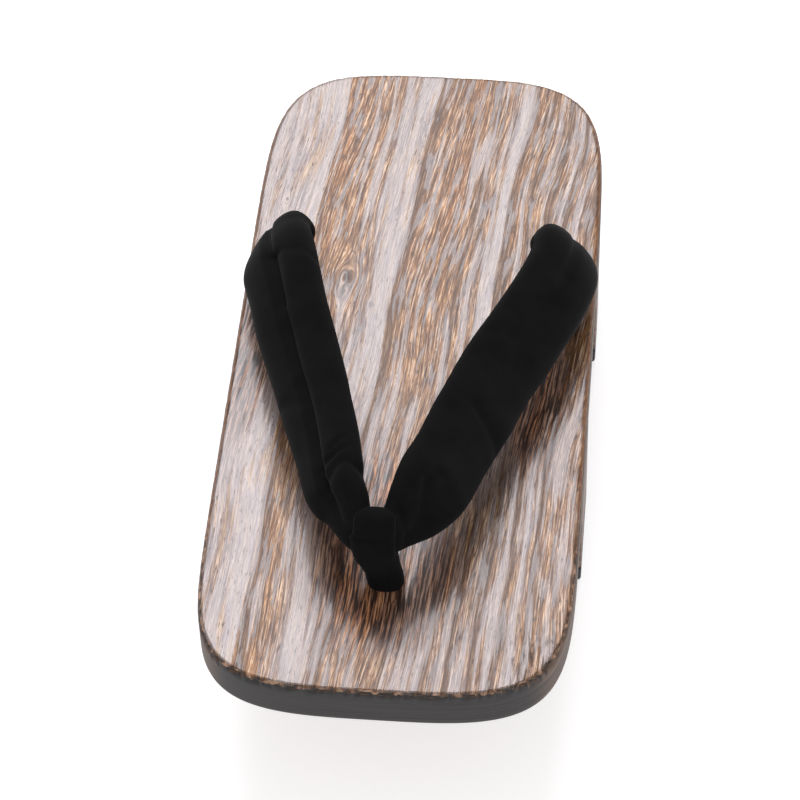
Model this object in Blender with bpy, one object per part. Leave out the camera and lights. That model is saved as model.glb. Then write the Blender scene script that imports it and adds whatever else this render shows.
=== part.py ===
"""Geta sandal: a wooden deck on two teeth, rubber foot pads and a padded strap with its front thong.

Metres, +Z up. The toe points along -Y, the heel along +Y. The origin is on the floor,
under the middle of the deck. The sandal has no left or right.
"""

import math

import bmesh
import bpy
from mathutils import Vector

# Fit between pieces that touch
CLEARANCE = 0.0003

# Deck, the board that the foot stands on
DECK_LENGTH = 0.265
DECK_WIDTH = 0.115
DECK_THICKNESS = 0.0145
DECK_TOP_ROUND = 0.003
DECK_FOOT_ROUND = 0.0015

# Squareness of the deck's outline: 2 is an ellipse, a high power is a rectangle
TOE_ACROSS_POWER = 3.5
TOE_ALONG_POWER = 10.0
HEEL_ACROSS_POWER = 3.8
HEEL_ALONG_POWER = 8.2

# Teeth, the two blocks under the deck, measured from the tip of the toe
TOOTH_HEIGHT = 0.037
TOOTH_ROOT_LENGTH = 0.0335
TOOTH_FOOT_LENGTH = 0.0355
FRONT_TOOTH_FROM_TOE = 0.091
REAR_TOOTH_FROM_TOE = 0.186
TOOTH_EDGE_ROUND = 0.0008

# Rubber pads under the teeth
RUBBER_THICKNESS = 0.0055
RUBBER_PROUD = 0.0004

# Holes that the strap and the thong pass through
THONG_HOLE_FROM_TOE = 0.042
THONG_HOLE_LENGTH = 0.0078
THONG_HOLE_WIDTH = 0.0104
STRAP_HOLE_FROM_TOE = 0.175
STRAP_HOLE_OUT = 0.042
STRAP_HOLE_LENGTH = 0.013
STRAP_HOLE_WIDTH = 0.009

# Padded side strap, one flat tube from rear hole to rear hole by way of the thong
STRAP_WIDTH = 0.0260
STRAP_THICKNESS = 0.0128
STRAP_RISE = 0.0242
STRAP_FRONT_FROM_TOE = 0.0448
STRAP_SQUARENESS = 2.6
GROOVE_DEPTH = 0.0020
GROOVE_WIDTH = 0.0017
GROOVE_SHIFT = 0.0012
FOOT_LENGTH = 0.0175
FOOT_WIDTH = 0.0115

# Thong, the short loop that holds the strap down between the toes
THONG_WIDTH = 0.0106
THONG_THICKNESS = 0.0092
THONG_LEAN = -0.0025
THONG_WRAP = 0.0020
THONG_EDGE_ROUND = 0.0012
THONG_FOOT_FLARE = 0.0012

# Knots under the deck that keep the strap and the thong in their holes
KNOT_WIDTH = 0.0150
KNOT_HEIGHT = 0.0090
KNOT_TURN = 80.0

# Fineness of the round forms
OUTLINE_POINTS = 84
OUTLINE_SAMPLES = 720
TOP_ROUND_STEPS = 4
FOOT_ROUND_STEPS = 2
SIDE_STEPS = 6
STEPS_PER_ROW = 3
HOLE_POINTS = 24
KNOT_RINGS = 5

# Share of level run below which a strap keeps the heading that it had
LEVEL_SHARE = 0.5

# Heights that follow from the sizes above
TOOTH_FOOT_Z = RUBBER_THICKNESS
DECK_FOOT_Z = TOOTH_FOOT_Z + TOOTH_HEIGHT
DECK_TOP_Z = DECK_FOOT_Z + DECK_THICKNESS

# Course of the strap from the middle of the thong to the rear hole.
# along: share of the way from the strap's front to the rear hole
# out: share of STRAP_HOLE_OUT
# height: share of STRAP_RISE, above the deck
# tilt: degrees that the strap's outer edge leans down
# width, thickness: shares of STRAP_WIDTH and STRAP_THICKNESS
# groove: share of GROOVE_DEPTH
STRAP_COURSE = (
    # along, out, height, tilt, width, thickness, groove
    (0.000, 0.000, 1.00, 79.0, 0.64, 0.78, 0.10),
    (0.012, 0.165, 1.00, 74.0, 0.70, 0.86, 0.15),
    (0.050, 0.285, 1.02, 62.0, 0.82, 0.94, 0.70),
    (0.130, 0.365, 1.02, 52.0, 0.94, 0.98, 1.00),
    (0.245, 0.470, 0.95, 45.0, 0.97, 0.98, 1.00),
    (0.375, 0.590, 0.90, 41.0, 0.98, 0.98, 1.00),
    (0.510, 0.725, 0.87, 40.0, 0.98, 0.98, 1.00),
    (0.640, 0.870, 0.86, 39.0, 0.99, 1.00, 1.00),
    (0.750, 0.990, 0.85, 39.0, 1.01, 1.00, 1.00),
    (0.845, 1.060, 0.81, 39.0, 1.02, 1.02, 1.00),
    (0.922, 1.075, 0.71, 44.0, 0.98, 1.02, 1.00),
    (0.978, 1.055, 0.52, 58.0, 0.84, 1.02, 0.80),
    (1.003, 1.015, 0.29, 78.0, 0.72, 0.94, 0.50),
)

# Course of the thong's stem from the deck to the middle of the strap
STEM_COURSE = (
    # height as a share of STRAP_RISE, flare as a share of THONG_FOOT_FLARE
    (0.00, 1.0),
    (0.14, 0.8),
    (0.35, 0.0),
    (1.00, 0.0),
)

# Places of the loop's sections across it, as shares of half of THONG_WIDTH
LOOP_SHARES = (-1.0, -0.8, -0.4, 0.4, 0.8, 1.0)

# Where the points of a strap's section lie, as shares of the way from the groove to an edge
LOBE_SHARES = (0.12, 0.40, 0.68, 0.88, 0.975)
UNDERSIDE_SHARES = (0.94, 0.72, 0.38, 0.0, -0.38, -0.72, -0.94)


def clear_scene():
    for thing in list(bpy.data.objects):
        bpy.data.objects.remove(thing, do_unlink=True)


def make_material(name, colour, roughness, metallic=0.0):
    material = bpy.data.materials.new(name)
    material.use_nodes = True
    shader = material.node_tree.nodes["Principled BSDF"]
    shader.inputs["Base Color"].default_value = (*colour, 1.0)
    shader.inputs["Roughness"].default_value = roughness
    shader.inputs["Metallic"].default_value = metallic
    return material


def solid_from_rings(name, rings, material=None):
    """Skin a stack of rings that have the same number of points, and close both ends."""
    mesh = bpy.data.meshes.new(name)
    form = bmesh.new()
    loops = [[form.verts.new(point) for point in ring] for ring in rings]
    count = len(loops[0])
    for lower, upper in zip(loops, loops[1:]):
        for i in range(count):
            j = (i + 1) % count
            form.faces.new((lower[i], lower[j], upper[j], upper[i]))
    form.faces.new(loops[0])
    form.faces.new(loops[-1])
    bmesh.ops.recalc_face_normals(form, faces=form.faces)
    form.to_mesh(mesh)
    form.free()
    solid = bpy.data.objects.new(name, mesh)
    bpy.context.scene.collection.objects.link(solid)
    if material:
        mesh.materials.append(material)
    mesh.shade_smooth()
    mesh.set_sharp_from_angle(angle=math.radians(35.0))
    return solid


def combine(target, tool, operation):
    """Cut or join one solid with another, which is only a guide afterwards."""
    modifier = target.modifiers.new(f"{operation.lower()} {tool.name}", "BOOLEAN")
    modifier.operation = operation
    modifier.solver = "EXACT"
    modifier.object = tool
    tool.hide_render = True
    tool.display_type = "WIRE"


def signed_power(value, power):
    return math.copysign(abs(value) ** power, value)


def from_toe(distance):
    """The Y of a place that is measured from the tip of the toe."""
    return distance - DECK_LENGTH / 2.0


def deck_half_width(y):
    """Half the deck's width at one place along it."""
    along = min(abs(y) / (DECK_LENGTH / 2.0), 1.0)
    if y < 0.0:
        across_power, along_power = TOE_ACROSS_POWER, TOE_ALONG_POWER
    else:
        across_power, along_power = HEEL_ACROSS_POWER, HEEL_ALONG_POWER
    return DECK_WIDTH / 2.0 * (1.0 - along ** along_power) ** (1.0 / across_power)


def deck_outline():
    """The deck's outline, with more points where it turns more."""
    dense = []
    for i in range(OUTLINE_SAMPLES):
        turn = math.tau * i / OUTLINE_SAMPLES
        toe = math.sin(turn) < 0.0
        across_power = TOE_ACROSS_POWER if toe else HEEL_ACROSS_POWER
        along_power = TOE_ALONG_POWER if toe else HEEL_ALONG_POWER
        x = DECK_WIDTH / 2.0 * signed_power(math.cos(turn), 2.0 / across_power)
        y = DECK_LENGTH / 2.0 * signed_power(math.sin(turn), 2.0 / along_power)
        dense.append(Vector((x, y)))
    travel = [0.0]
    radius = DECK_WIDTH / 4.0
    for i, here in enumerate(dense):
        after = dense[(i + 1) % len(dense)]
        beyond = dense[(i + 2) % len(dense)]
        turning = abs((after - here).angle_signed(beyond - after, 0.0))
        travel.append(travel[-1] + (after - here).length + radius * turning)
    outline = []
    place = 0
    for k in range(OUTLINE_POINTS):
        goal = travel[-1] * k / OUTLINE_POINTS
        while travel[place + 1] < goal:
            place += 1
        share = (goal - travel[place]) / max(travel[place + 1] - travel[place], 1e-12)
        outline.append(dense[place].lerp(dense[(place + 1) % len(dense)], share))
    return outline


def moved_in(outline, inset):
    """The same outline, moved inwards by one distance all round."""
    count = len(outline)
    inner = []
    for i, point in enumerate(outline):
        along = (outline[(i + 1) % count] - outline[i - 1]).normalized()
        inner.append(point + Vector((-along.y, along.x)) * inset)
    return inner


def oval(centre_x, centre_y, width, length, z):
    ring = []
    for i in range(HOLE_POINTS):
        turn = math.tau * i / HOLE_POINTS
        x = centre_x + width / 2.0 * math.cos(turn)
        y = centre_y + length / 2.0 * math.sin(turn)
        ring.append(Vector((x, y, z)))
    return ring


def make_deck(material):
    """Board with a soft top edge, a hole for the thong and two for the strap."""
    outline = deck_outline()
    levels = []
    for i in range(FOOT_ROUND_STEPS + 1):
        turn = math.pi / 2.0 * i / FOOT_ROUND_STEPS
        inset = DECK_FOOT_ROUND * (1.0 - math.sin(turn))
        levels.append((inset, DECK_FOOT_Z + DECK_FOOT_ROUND * (1.0 - math.cos(turn))))
    for i in range(TOP_ROUND_STEPS + 1):
        turn = math.pi / 2.0 * i / TOP_ROUND_STEPS
        inset = DECK_TOP_ROUND * (1.0 - math.cos(turn))
        levels.append((inset, DECK_TOP_Z - DECK_TOP_ROUND * (1.0 - math.sin(turn))))
    rings = [[(*point, z) for point in moved_in(outline, inset)] for inset, z in levels]
    deck = solid_from_rings("deck", rings, material)

    places = [("thong_hole_cutter", 0.0, THONG_HOLE_FROM_TOE, THONG_HOLE_WIDTH, THONG_HOLE_LENGTH)]
    for side, name in ((-1.0, "left"), (1.0, "right")):
        places.append((f"strap_hole_cutter_{name}", side * STRAP_HOLE_OUT, STRAP_HOLE_FROM_TOE,
                       STRAP_HOLE_WIDTH, STRAP_HOLE_LENGTH))
    for name, x, distance, width, length in places:
        cutter = [oval(x, from_toe(distance), width, length, z)
                  for z in (DECK_FOOT_Z - DECK_THICKNESS, DECK_TOP_Z + DECK_THICKNESS)]
        combine(deck, solid_from_rings(name, cutter), "DIFFERENCE")
    return deck


def block_outline(front, rear):
    """Plan of a tooth: straight front and rear, sides that follow the deck's own outline."""
    right = []
    for i in range(SIDE_STEPS + 1):
        y = front + (rear - front) * i / SIDE_STEPS
        right.append(Vector((deck_half_width(y), y)))
    left = [Vector((-point.x, point.y)) for point in reversed(right)]
    return right + left


def make_block(name, levels, material):
    """Tooth or pad: a stack of plans, each given as its height, front and rear."""
    rings = [[(*point, z) for point in block_outline(front, rear)] for z, front, rear in levels]
    block = solid_from_rings(name, rings, material)
    bevel = block.modifiers.new("worn edges", "BEVEL")
    bevel.width = TOOTH_EDGE_ROUND
    bevel.segments = 2
    bevel.limit_method = "ANGLE"
    bevel.angle_limit = math.radians(50.0)
    return block


def make_tooth(name, distance, material):
    front = from_toe(distance)
    foot = (TOOTH_FOOT_Z + CLEARANCE, front, front + TOOTH_FOOT_LENGTH)
    root = (DECK_FOOT_Z - CLEARANCE, front, front + TOOTH_ROOT_LENGTH)
    return make_block(name, (foot, root), material)


def make_pad(name, distance, material):
    front = from_toe(distance) - RUBBER_PROUD
    rear = from_toe(distance) + TOOTH_FOOT_LENGTH + RUBBER_PROUD
    return make_block(name, ((0.0, front, rear), (RUBBER_THICKNESS, front, rear)), material)


def section(width, thickness, groove=0.0, squareness=STRAP_SQUARENESS):
    """Flat rounded tube, with two lobes if it has a groove: places across and through it."""
    half_width = width / 2.0
    half_thickness = thickness / 2.0

    def skin(across):
        share = min(abs(across) / half_width, 1.0)
        return half_thickness * (1.0 - share ** squareness) ** (1.0 / squareness)

    def grooved_skin(across):
        dip = groove * math.exp(-((across + GROOVE_SHIFT) / GROOVE_WIDTH) ** 2)
        return max(skin(across) - dip, 0.0)

    outer_lobe = [-GROOVE_SHIFT + (half_width + GROOVE_SHIFT) * share for share in LOBE_SHARES]
    inner_lobe = [-GROOVE_SHIFT - (half_width - GROOVE_SHIFT) * share for share in LOBE_SHARES]
    upper_side = [half_width, *reversed(outer_lobe), -GROOVE_SHIFT, *inner_lobe, -half_width]
    under_side = [half_width * share for share in reversed(UNDERSIDE_SHARES)]
    points = [(across, grooved_skin(across)) for across in upper_side]
    return points + [(across, -skin(across)) for across in under_side]


def level_ring(x, y, z, length, width, squareness=2.0):
    """A level section round an upright line, in step with the points of the strap's sections."""
    return [Vector((x + through * width, y - across * length, z))
            for across, through in section(1.0, 1.0, squareness=squareness)]


def smooth_rows(rows, steps):
    """Catmull-Rom curve through the rows of a table, all its columns at once."""
    mirrored = [rows[1][0], -rows[1][1], *rows[1][2:]]
    beyond = [2.0 * end - before for end, before in zip(rows[-1], rows[-2])]
    course = [mirrored, *rows, beyond]
    smooth = []
    for four in zip(course, course[1:], course[2:], course[3:]):
        for step in range(steps):
            t = step / steps
            smooth.append([
                0.5 * (2.0 * b + (c - a) * t + (2.0 * a - 5.0 * b + 4.0 * c - d) * t ** 2
                       + (3.0 * b - a - 3.0 * c + d) * t ** 3)
                for a, b, c, d in zip(*four)])
    smooth.append(list(rows[-1]))
    return smooth


def strap_place(row):
    along, out, height = row[:3]
    front = from_toe(STRAP_FRONT_FROM_TOE)
    rear = from_toe(STRAP_HOLE_FROM_TOE)
    y = front + along * (rear - front)
    return Vector((out * STRAP_HOLE_OUT, y, DECK_TOP_Z + height * STRAP_RISE))


def end_rings(x, y, hole_length, hole_width):
    """The end of a strap or thong: a neck down through its hole and a squat knot below."""
    length = hole_length - 2.0 * CLEARANCE
    width = hole_width - 2.0 * CLEARANCE
    rings = [level_ring(x, y, DECK_TOP_Z + CLEARANCE, length, width),
             level_ring(x, y, DECK_FOOT_Z - CLEARANCE, length, width)]
    for i in range(KNOT_RINGS):
        turn = math.radians(KNOT_TURN) * i / (KNOT_RINGS - 1)
        size = KNOT_WIDTH * math.cos(turn)
        z = DECK_FOOT_Z - CLEARANCE - KNOT_HEIGHT * math.sin(turn)
        rings.append(level_ring(x, y, z, size, size))
    return rings


def half_strap_rings():
    """Sections of the right half, from the middle of the thong to the knot under the deck."""
    rows = smooth_rows(STRAP_COURSE, STEPS_PER_ROW)
    points = [strap_place(row) for row in rows]
    rings = []
    side = Vector((0.0, -1.0, 0.0))
    for i, (row, point) in enumerate(zip(rows, points)):
        tangent = (points[min(i + 1, len(points) - 1)] - points[max(i - 1, 0)]).normalized()
        if i == 0:
            tangent = Vector((1.0, 0.0, 0.0))
        plan = Vector((tangent.y, -tangent.x, 0.0))
        if plan.length > LEVEL_SHARE:
            side = plan.normalized()
        up = side.cross(tangent).normalized()
        tilt = math.radians(row[3])
        across = side * math.cos(tilt) - up * math.sin(tilt)
        through = side * math.sin(tilt) + up * math.cos(tilt)
        width, thickness, groove = row[4] * STRAP_WIDTH, row[5] * STRAP_THICKNESS, row[6] * GROOVE_DEPTH
        rings.append([point + across * u + through * v for u, v in section(width, thickness, groove)])
    x, y = STRAP_HOLE_OUT, from_toe(STRAP_HOLE_FROM_TOE)
    rings.append(level_ring(x, y, DECK_TOP_Z + CLEARANCE, FOOT_LENGTH, FOOT_WIDTH, STRAP_SQUARENESS))
    return rings + end_rings(x, y, STRAP_HOLE_LENGTH, STRAP_HOLE_WIDTH)


def make_thong_stem():
    """Flat upright tube from the knot under the deck to the middle of the strap."""
    foot_y = from_toe(THONG_HOLE_FROM_TOE)
    head_y = from_toe(STRAP_FRONT_FROM_TOE)
    rings = list(reversed(end_rings(0.0, foot_y, THONG_HOLE_LENGTH, THONG_HOLE_WIDTH)))
    for share, flare in STEM_COURSE:
        z = DECK_TOP_Z + CLEARANCE + share * (STRAP_RISE - CLEARANCE)
        y = foot_y + share * (head_y - foot_y)
        length = THONG_THICKNESS + flare * THONG_FOOT_FLARE
        width = THONG_WIDTH + flare * THONG_FOOT_FLARE
        rings.append(level_ring(share * THONG_LEAN, y, z, length, width, STRAP_SQUARENESS))
    return solid_from_rings("thong_stem_guide", rings)


def make_thong_loop():
    """Band that wraps the middle of the strap."""
    along, out, height, tilt, width, thickness, groove = STRAP_COURSE[0]
    centre = strap_place(STRAP_COURSE[0]) + Vector((THONG_LEAN, 0.0, 0.0))
    lean = math.radians(tilt)
    across = Vector((0.0, -math.cos(lean), -math.sin(lean)))
    through = Vector((0.0, -math.sin(lean), math.cos(lean)))
    rings = []
    for share in LOOP_SHARES:
        inset = THONG_EDGE_ROUND * abs(share) ** 3
        grown = 2.0 * (THONG_WRAP - inset)
        middle = centre + Vector((share * THONG_WIDTH / 2.0, 0.0, 0.0))
        outline = section(width * STRAP_WIDTH + grown, thickness * STRAP_THICKNESS + grown)
        rings.append([middle + across * u + through * v for u, v in outline])
    return solid_from_rings("thong_loop_guide", rings)


def leaned(point):
    """The strap follows the thong's lean, less and less towards the rear holes."""
    front = from_toe(STRAP_FRONT_FROM_TOE)
    rear = from_toe(STRAP_HOLE_FROM_TOE)
    share = min(max((rear - point.y) / (rear - front), 0.0), 1.0)
    return point + Vector((THONG_LEAN * share ** 2, 0.0, 0.0))


def make_upper(material):
    """Side strap and thong in one: what holds the foot on the deck."""
    right = half_strap_rings()
    left = [[Vector((-point.x, point.y, point.z)) for point in ring] for ring in right[1:]]
    rings = [[leaned(point) for point in ring] for ring in [*reversed(left), *right]]
    upper = solid_from_rings("upper_straps", rings, material)
    combine(upper, make_thong_loop(), "UNION")
    combine(upper, make_thong_stem(), "UNION")
    return upper


def main():
    clear_scene()
    wood = make_material("wood", (0.20, 0.09, 0.045), 0.35)
    rubber = make_material("rubber", (0.03, 0.03, 0.032), 0.75)
    velvet = make_material("velvet", (0.008, 0.008, 0.009), 0.9)
    make_deck(wood)
    for name, distance in (("front", FRONT_TOOTH_FROM_TOE), ("rear", REAR_TOOTH_FROM_TOE)):
        make_tooth(f"tooth_{name}", distance, wood)
        make_pad(f"rubber_{name}", distance, rubber)
    make_upper(velvet)


main()
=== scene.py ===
# %% [markdown]
# # Geta sandal
#
# A geta is a wooden sandal. A flat board, the deck, stands on two cross blocks, the teeth, and a padded
# strap holds the foot. The frame that is loaded first has every piece at its real size and place. The
# lesson then gives each piece its finish: brushed and charred wood under a clear coat, plain stained
# wood, rubber and black velvet. A form that is right in the frame stays and only gets a material. The
# deck and the strap are made again, finer, in the place of the plain ones.

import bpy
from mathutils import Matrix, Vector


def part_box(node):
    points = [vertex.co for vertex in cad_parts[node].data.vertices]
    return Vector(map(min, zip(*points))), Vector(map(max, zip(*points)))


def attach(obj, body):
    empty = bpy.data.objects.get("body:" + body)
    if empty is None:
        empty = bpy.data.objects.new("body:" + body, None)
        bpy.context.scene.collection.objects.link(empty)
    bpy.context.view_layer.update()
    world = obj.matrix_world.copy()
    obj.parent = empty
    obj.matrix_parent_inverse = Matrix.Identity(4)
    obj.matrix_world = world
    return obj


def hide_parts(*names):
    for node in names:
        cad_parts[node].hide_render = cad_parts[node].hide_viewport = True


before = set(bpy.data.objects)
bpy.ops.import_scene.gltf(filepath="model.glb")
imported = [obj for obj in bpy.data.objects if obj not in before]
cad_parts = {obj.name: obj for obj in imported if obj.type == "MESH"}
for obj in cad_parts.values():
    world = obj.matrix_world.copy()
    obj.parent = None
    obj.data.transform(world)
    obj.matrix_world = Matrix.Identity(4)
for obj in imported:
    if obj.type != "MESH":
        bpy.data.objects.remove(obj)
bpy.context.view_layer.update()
print("pieces in the frame:", ", ".join(sorted(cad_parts)))

# %% Tools and sizes for the whole lesson
import math

import bmesh
import bpy
import numpy as np
from mathutils import Matrix, Vector, noise

MM = 0.001
deck_low, deck_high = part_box("deck")
DECK_LENGTH = deck_high.y - deck_low.y
DECK_WIDTH = deck_high.x - deck_low.x
DECK_TOP = deck_high.z
DECK_FOOT = deck_low.z
TOE = deck_low.y
print(f"deck {DECK_LENGTH / MM:.1f} x {DECK_WIDTH / MM:.1f} mm, its top {DECK_TOP / MM:.1f} mm off the floor")


def show_mesh(name, points, faces, material):
    """Make a smooth shaded object from points and faces."""
    mesh = bpy.data.meshes.new(name)
    mesh.from_pydata(points, [], faces)
    mesh.materials.append(material)
    mesh.validate()
    mesh.shade_smooth()
    piece = bpy.data.objects.new(name, mesh)
    bpy.context.scene.collection.objects.link(piece)
    return piece


def as_shown(piece):
    """Replace a piece's mesh by what its modifiers make of it, and drop the modifiers."""
    view = piece.evaluated_get(bpy.context.evaluated_depsgraph_get())
    made = bpy.data.meshes.new_from_object(view)
    piece.modifiers.clear()
    piece.data = made
    print(f"{piece.name}: {len(made.polygons)} faces")
    return piece


# %% [markdown]
# ## Camera, floor and light
#
# The camera stands where the photographer stood, a little to the right of the toe and about 49 degrees
# up, and it is rolled by two degrees. It is given by its place and its aim, so that a reader can see the
# viewing angle in the numbers. A long lens keeps the shape as flat as in the photograph.

# %% Camera
CAMERA_PLACE = Vector((0.0744, -0.6853, 0.8286))
CAMERA_AIM = Vector((-0.0029, -0.0118, 0.0500))
CAMERA_ROLL = math.radians(-2.0)
CAMERA_LENS = 145.0
SENSOR = 36.0

lens = bpy.data.cameras.new("camera")
lens.lens = CAMERA_LENS
lens.sensor_width = SENSOR
lens.clip_start = 0.05
lens.clip_end = 20.0
camera = bpy.data.objects.new("camera", lens)
bpy.context.scene.collection.objects.link(camera)
look = (CAMERA_AIM - CAMERA_PLACE).to_track_quat("-Z", "Y")
turn = look @ Matrix.Rotation(CAMERA_ROLL, 3, "Z").to_quaternion()
camera.matrix_world = Matrix.Translation(CAMERA_PLACE) @ turn.to_matrix().to_4x4()
bpy.context.scene.camera = camera
print("camera distance", round((CAMERA_AIM - CAMERA_PLACE).length, 3), "m")

# %% [markdown]
# The coat on the deck is seen as a pale glare. That comes from one large soft light behind the heel,
# where a mirror on the deck would show it. Its middle is left of the shoe, so the glare fades to the
# right. A pale room fills in the rest, and a weak light from the front lifts the toe's end. The floor
# glows a little of itself, which keeps it near white round the soft shadow.

# %% Floor, room and lights
FLOOR_SIZE = 8.0
FLOOR_COLOUR = (0.92, 0.92, 0.925, 1.0)
FLOOR_GLOW = 0.62
ROOM_COLOUR = (1.0, 0.985, 0.975, 1.0)
ROOM_STRENGTH = 0.42


def plain_surface(name, colour, roughness, glow):
    material = bpy.data.materials.new(name)
    material.use_nodes = True
    shader = material.node_tree.nodes["Principled BSDF"]
    shader.inputs["Base Color"].default_value = colour
    shader.inputs["Roughness"].default_value = roughness
    shader.inputs["Emission Color"].default_value = colour
    shader.inputs["Emission Strength"].default_value = glow
    return material


half = FLOOR_SIZE / 2
floor = show_mesh("floor", [(-half, -half, 0), (half, -half, 0), (half, half, 0), (-half, half, 0)],
                  [(0, 1, 2, 3)], plain_surface("floor_paint", FLOOR_COLOUR, 0.9, FLOOR_GLOW))

room = bpy.data.worlds.new("room")
room.use_nodes = True
room.node_tree.nodes["Background"].inputs["Color"].default_value = ROOM_COLOUR
room.node_tree.nodes["Background"].inputs["Strength"].default_value = ROOM_STRENGTH
bpy.context.scene.world = room
bpy.context.scene.view_settings.view_transform = "Standard"

LIGHTS = (
    # name, place, aim, width, height, watts, colour
    ("window", (-0.15, 0.79, 1.12), (-0.01, 0.0, 0.057), 0.76, 0.88, 10.3, (0.965, 0.955, 1.0)),
    ("front_fill", (0.5, -1.3, 0.7), (0.0, -0.1, 0.04), 1.0, 0.8, 4.0, (1.0, 0.98, 0.96)),
)
for name, place, aim, width, height, watts, colour in LIGHTS:
    lamp = bpy.data.lights.new(name, "AREA")
    lamp.shape = "RECTANGLE"
    lamp.size = width
    lamp.size_y = height
    lamp.energy = watts
    lamp.color = colour
    holder = bpy.data.objects.new(name, lamp)
    bpy.context.scene.collection.objects.link(holder)
    holder.location = place
    holder.rotation_euler = (Vector(aim) - Vector(place)).to_track_quat("-Z", "Y").to_euler()
    print("light", name, watts, "W")

# %% [markdown]
# ## Wood grain
#
# The deck is a flat sawn board. Its growth rings show as long bands. Each starts rough and orange at a
# sharp line and ends smooth and pale at the next one. Brushing has worn the soft wood down into fine
# grooves, and a clear coat lies over all of it.
#
# The grain has to move points of the mesh and to colour them as well. So one function writes the same
# chain of nodes into a group for geometry or into a group for shaders, and both give the same pattern.

# %% Small helpers for nodes
def add(tree, kind, inputs=None, **settings):
    """Add a node. An input's value is a number, a tuple or the socket that feeds it."""
    node = tree.nodes.new(kind)
    for name, value in settings.items():
        setattr(node, name, value)
    for name, value in (inputs or {}).items():
        if isinstance(value, bpy.types.NodeSocket):
            tree.links.new(value, node.inputs[name])
        else:
            node.inputs[name].default_value = value
    return node


def calc(tree, operation, a, b=0.0, c=0.0):
    """One step of arithmetic on numbers or sockets."""
    return add(tree, "ShaderNodeMath", {0: a, 1: b, 2: c}, operation=operation).outputs[0]


def times(tree, *factors):
    """The product of numbers and sockets."""
    product = factors[0]
    for factor in factors[1:]:
        product = calc(tree, "MULTIPLY", product, factor)
    return product


def ramp(tree, value, start, end, low=0.0, high=1.0):
    """Ease from low to high while the value goes from start to end."""
    node = add(tree, "ShaderNodeMapRange", {"Value": value, "From Min": start, "From Max": end,
                                            "To Min": low, "To Max": high},
               interpolation_type="SMOOTHSTEP", clamp=True)
    return node.outputs[0]


def parts(tree, vector):
    """The three numbers of a vector."""
    return add(tree, "ShaderNodeSeparateXYZ", {0: vector}).outputs


def speckle(tree, place, scale, detail=2.0):
    """Plain noise, the same in every direction. Scale counts its spots in a metre."""
    return add(tree, "ShaderNodeTexNoise", {"Vector": place, "Scale": scale, "Detail": detail}).outputs[0]


def streaks(tree, across, along, width, length, detail=2.0):
    """Noise that is stretched along the grain. Width and length are in millimetres."""
    place = add(tree, "ShaderNodeCombineXYZ", {0: calc(tree, "DIVIDE", across, width),
                                               1: calc(tree, "DIVIDE", along, length)})
    node = add(tree, "ShaderNodeTexNoise", {"Vector": place.outputs[0], "Scale": 1.0, "Detail": detail},
               noise_dimensions="2D")
    return node.outputs[0]


def from_oval(tree, x, y, oval):
    """Squared distance from an oval's middle, 1 on the oval. It is given by middle and reach, each x, y."""
    aside = calc(tree, "DIVIDE", calc(tree, "SUBTRACT", x, oval[0]), oval[2])
    ahead = calc(tree, "DIVIDE", calc(tree, "SUBTRACT", y, oval[1]), oval[3])
    return calc(tree, "ADD", times(tree, aside, aside), times(tree, ahead, ahead))


def open_group(name, kind, inputs, outputs):
    """A node group of either kind with named sockets."""
    group = bpy.data.node_groups.new(name, kind)
    for socket, socket_type in inputs:
        group.interface.new_socket(name=socket, in_out="INPUT", socket_type=socket_type)
    for socket, socket_type in outputs:
        group.interface.new_socket(name=socket, in_out="OUTPUT", socket_type=socket_type)
    return group, group.nodes.new("NodeGroupInput"), group.nodes.new("NodeGroupOutput")


print("node helpers ready")

# %% [markdown]
# The rings run at a slope to the deck's edge, more so on the left, and they waver. Taking that out of a
# point's place gives its place across the rings. Near a knot this place is pulled towards the knot, so
# the rings part round it and close to small circles inside it.

# %% Course of the growth rings, in millimetres
RING_SLOPE = 0.072
LEFT_RING_SLOPE = 0.040
LEFT_RING_FROM = -18.0
LEFT_RING_TO = -34.0
WAVE = 7.0
WAVE_WIDTH = 45.0
WAVE_LENGTH = 85.0
KNOTS = (
    # x, y, radius
    (-24.1, 34.5, 2.7),
    (-25.3, 28.0, 1.7),
    (-15.3, 22.8, 1.2),
    (-47.8, 69.0, 0.8),
)
KNOT_STRETCH = 1.9
KNOT_CORE = 0.35


def straight_rings(tree, x, y):
    """Place across the rings, as if they ran straight along the deck."""
    wave = streaks(tree, x, y, WAVE_WIDTH, WAVE_LENGTH, detail=1.0)
    left = ramp(tree, x, LEFT_RING_FROM, LEFT_RING_TO)
    slope = calc(tree, "MULTIPLY_ADD", left, LEFT_RING_SLOPE - RING_SLOPE, RING_SLOPE)
    ring = calc(tree, "SUBTRACT", x, times(tree, slope, y))
    return calc(tree, "ADD", ring, calc(tree, "MULTIPLY_ADD", wave, WAVE, -WAVE / 2.0))


def part_round_knots(tree, x, y, ring):
    """Bend the rings round each knot. The second result marks the hearts of the knots."""
    hearts = None
    for knot_x, knot_y, radius in KNOTS:
        aside = calc(tree, "SUBTRACT", x, knot_x)
        square = from_oval(tree, x, y, (knot_x, knot_y, 1.0, KNOT_STRETCH))
        pull = calc(tree, "DIVIDE", radius ** 2, calc(tree, "ADD", square, KNOT_CORE * radius ** 2))
        ring = calc(tree, "SUBTRACT", ring, times(tree, aside, pull))
        heart = ramp(tree, square, 0.6 * radius ** 2, 0.15 * radius ** 2)
        hearts = heart if hearts is None else calc(tree, "MAXIMUM", hearts, heart)
    return ring, hearts


print(len(KNOTS), "knots in the board")

# %% [markdown]
# How smooth the wood is changes from ring to ring, and a ring that is rough at the heel can be smooth at
# the toe. So two columns of a small chart give the smoothness across the rings, one for each end, and
# the board blends from one to the other. Where a new ring starts, the wood is burnt dark in a thin line.

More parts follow.
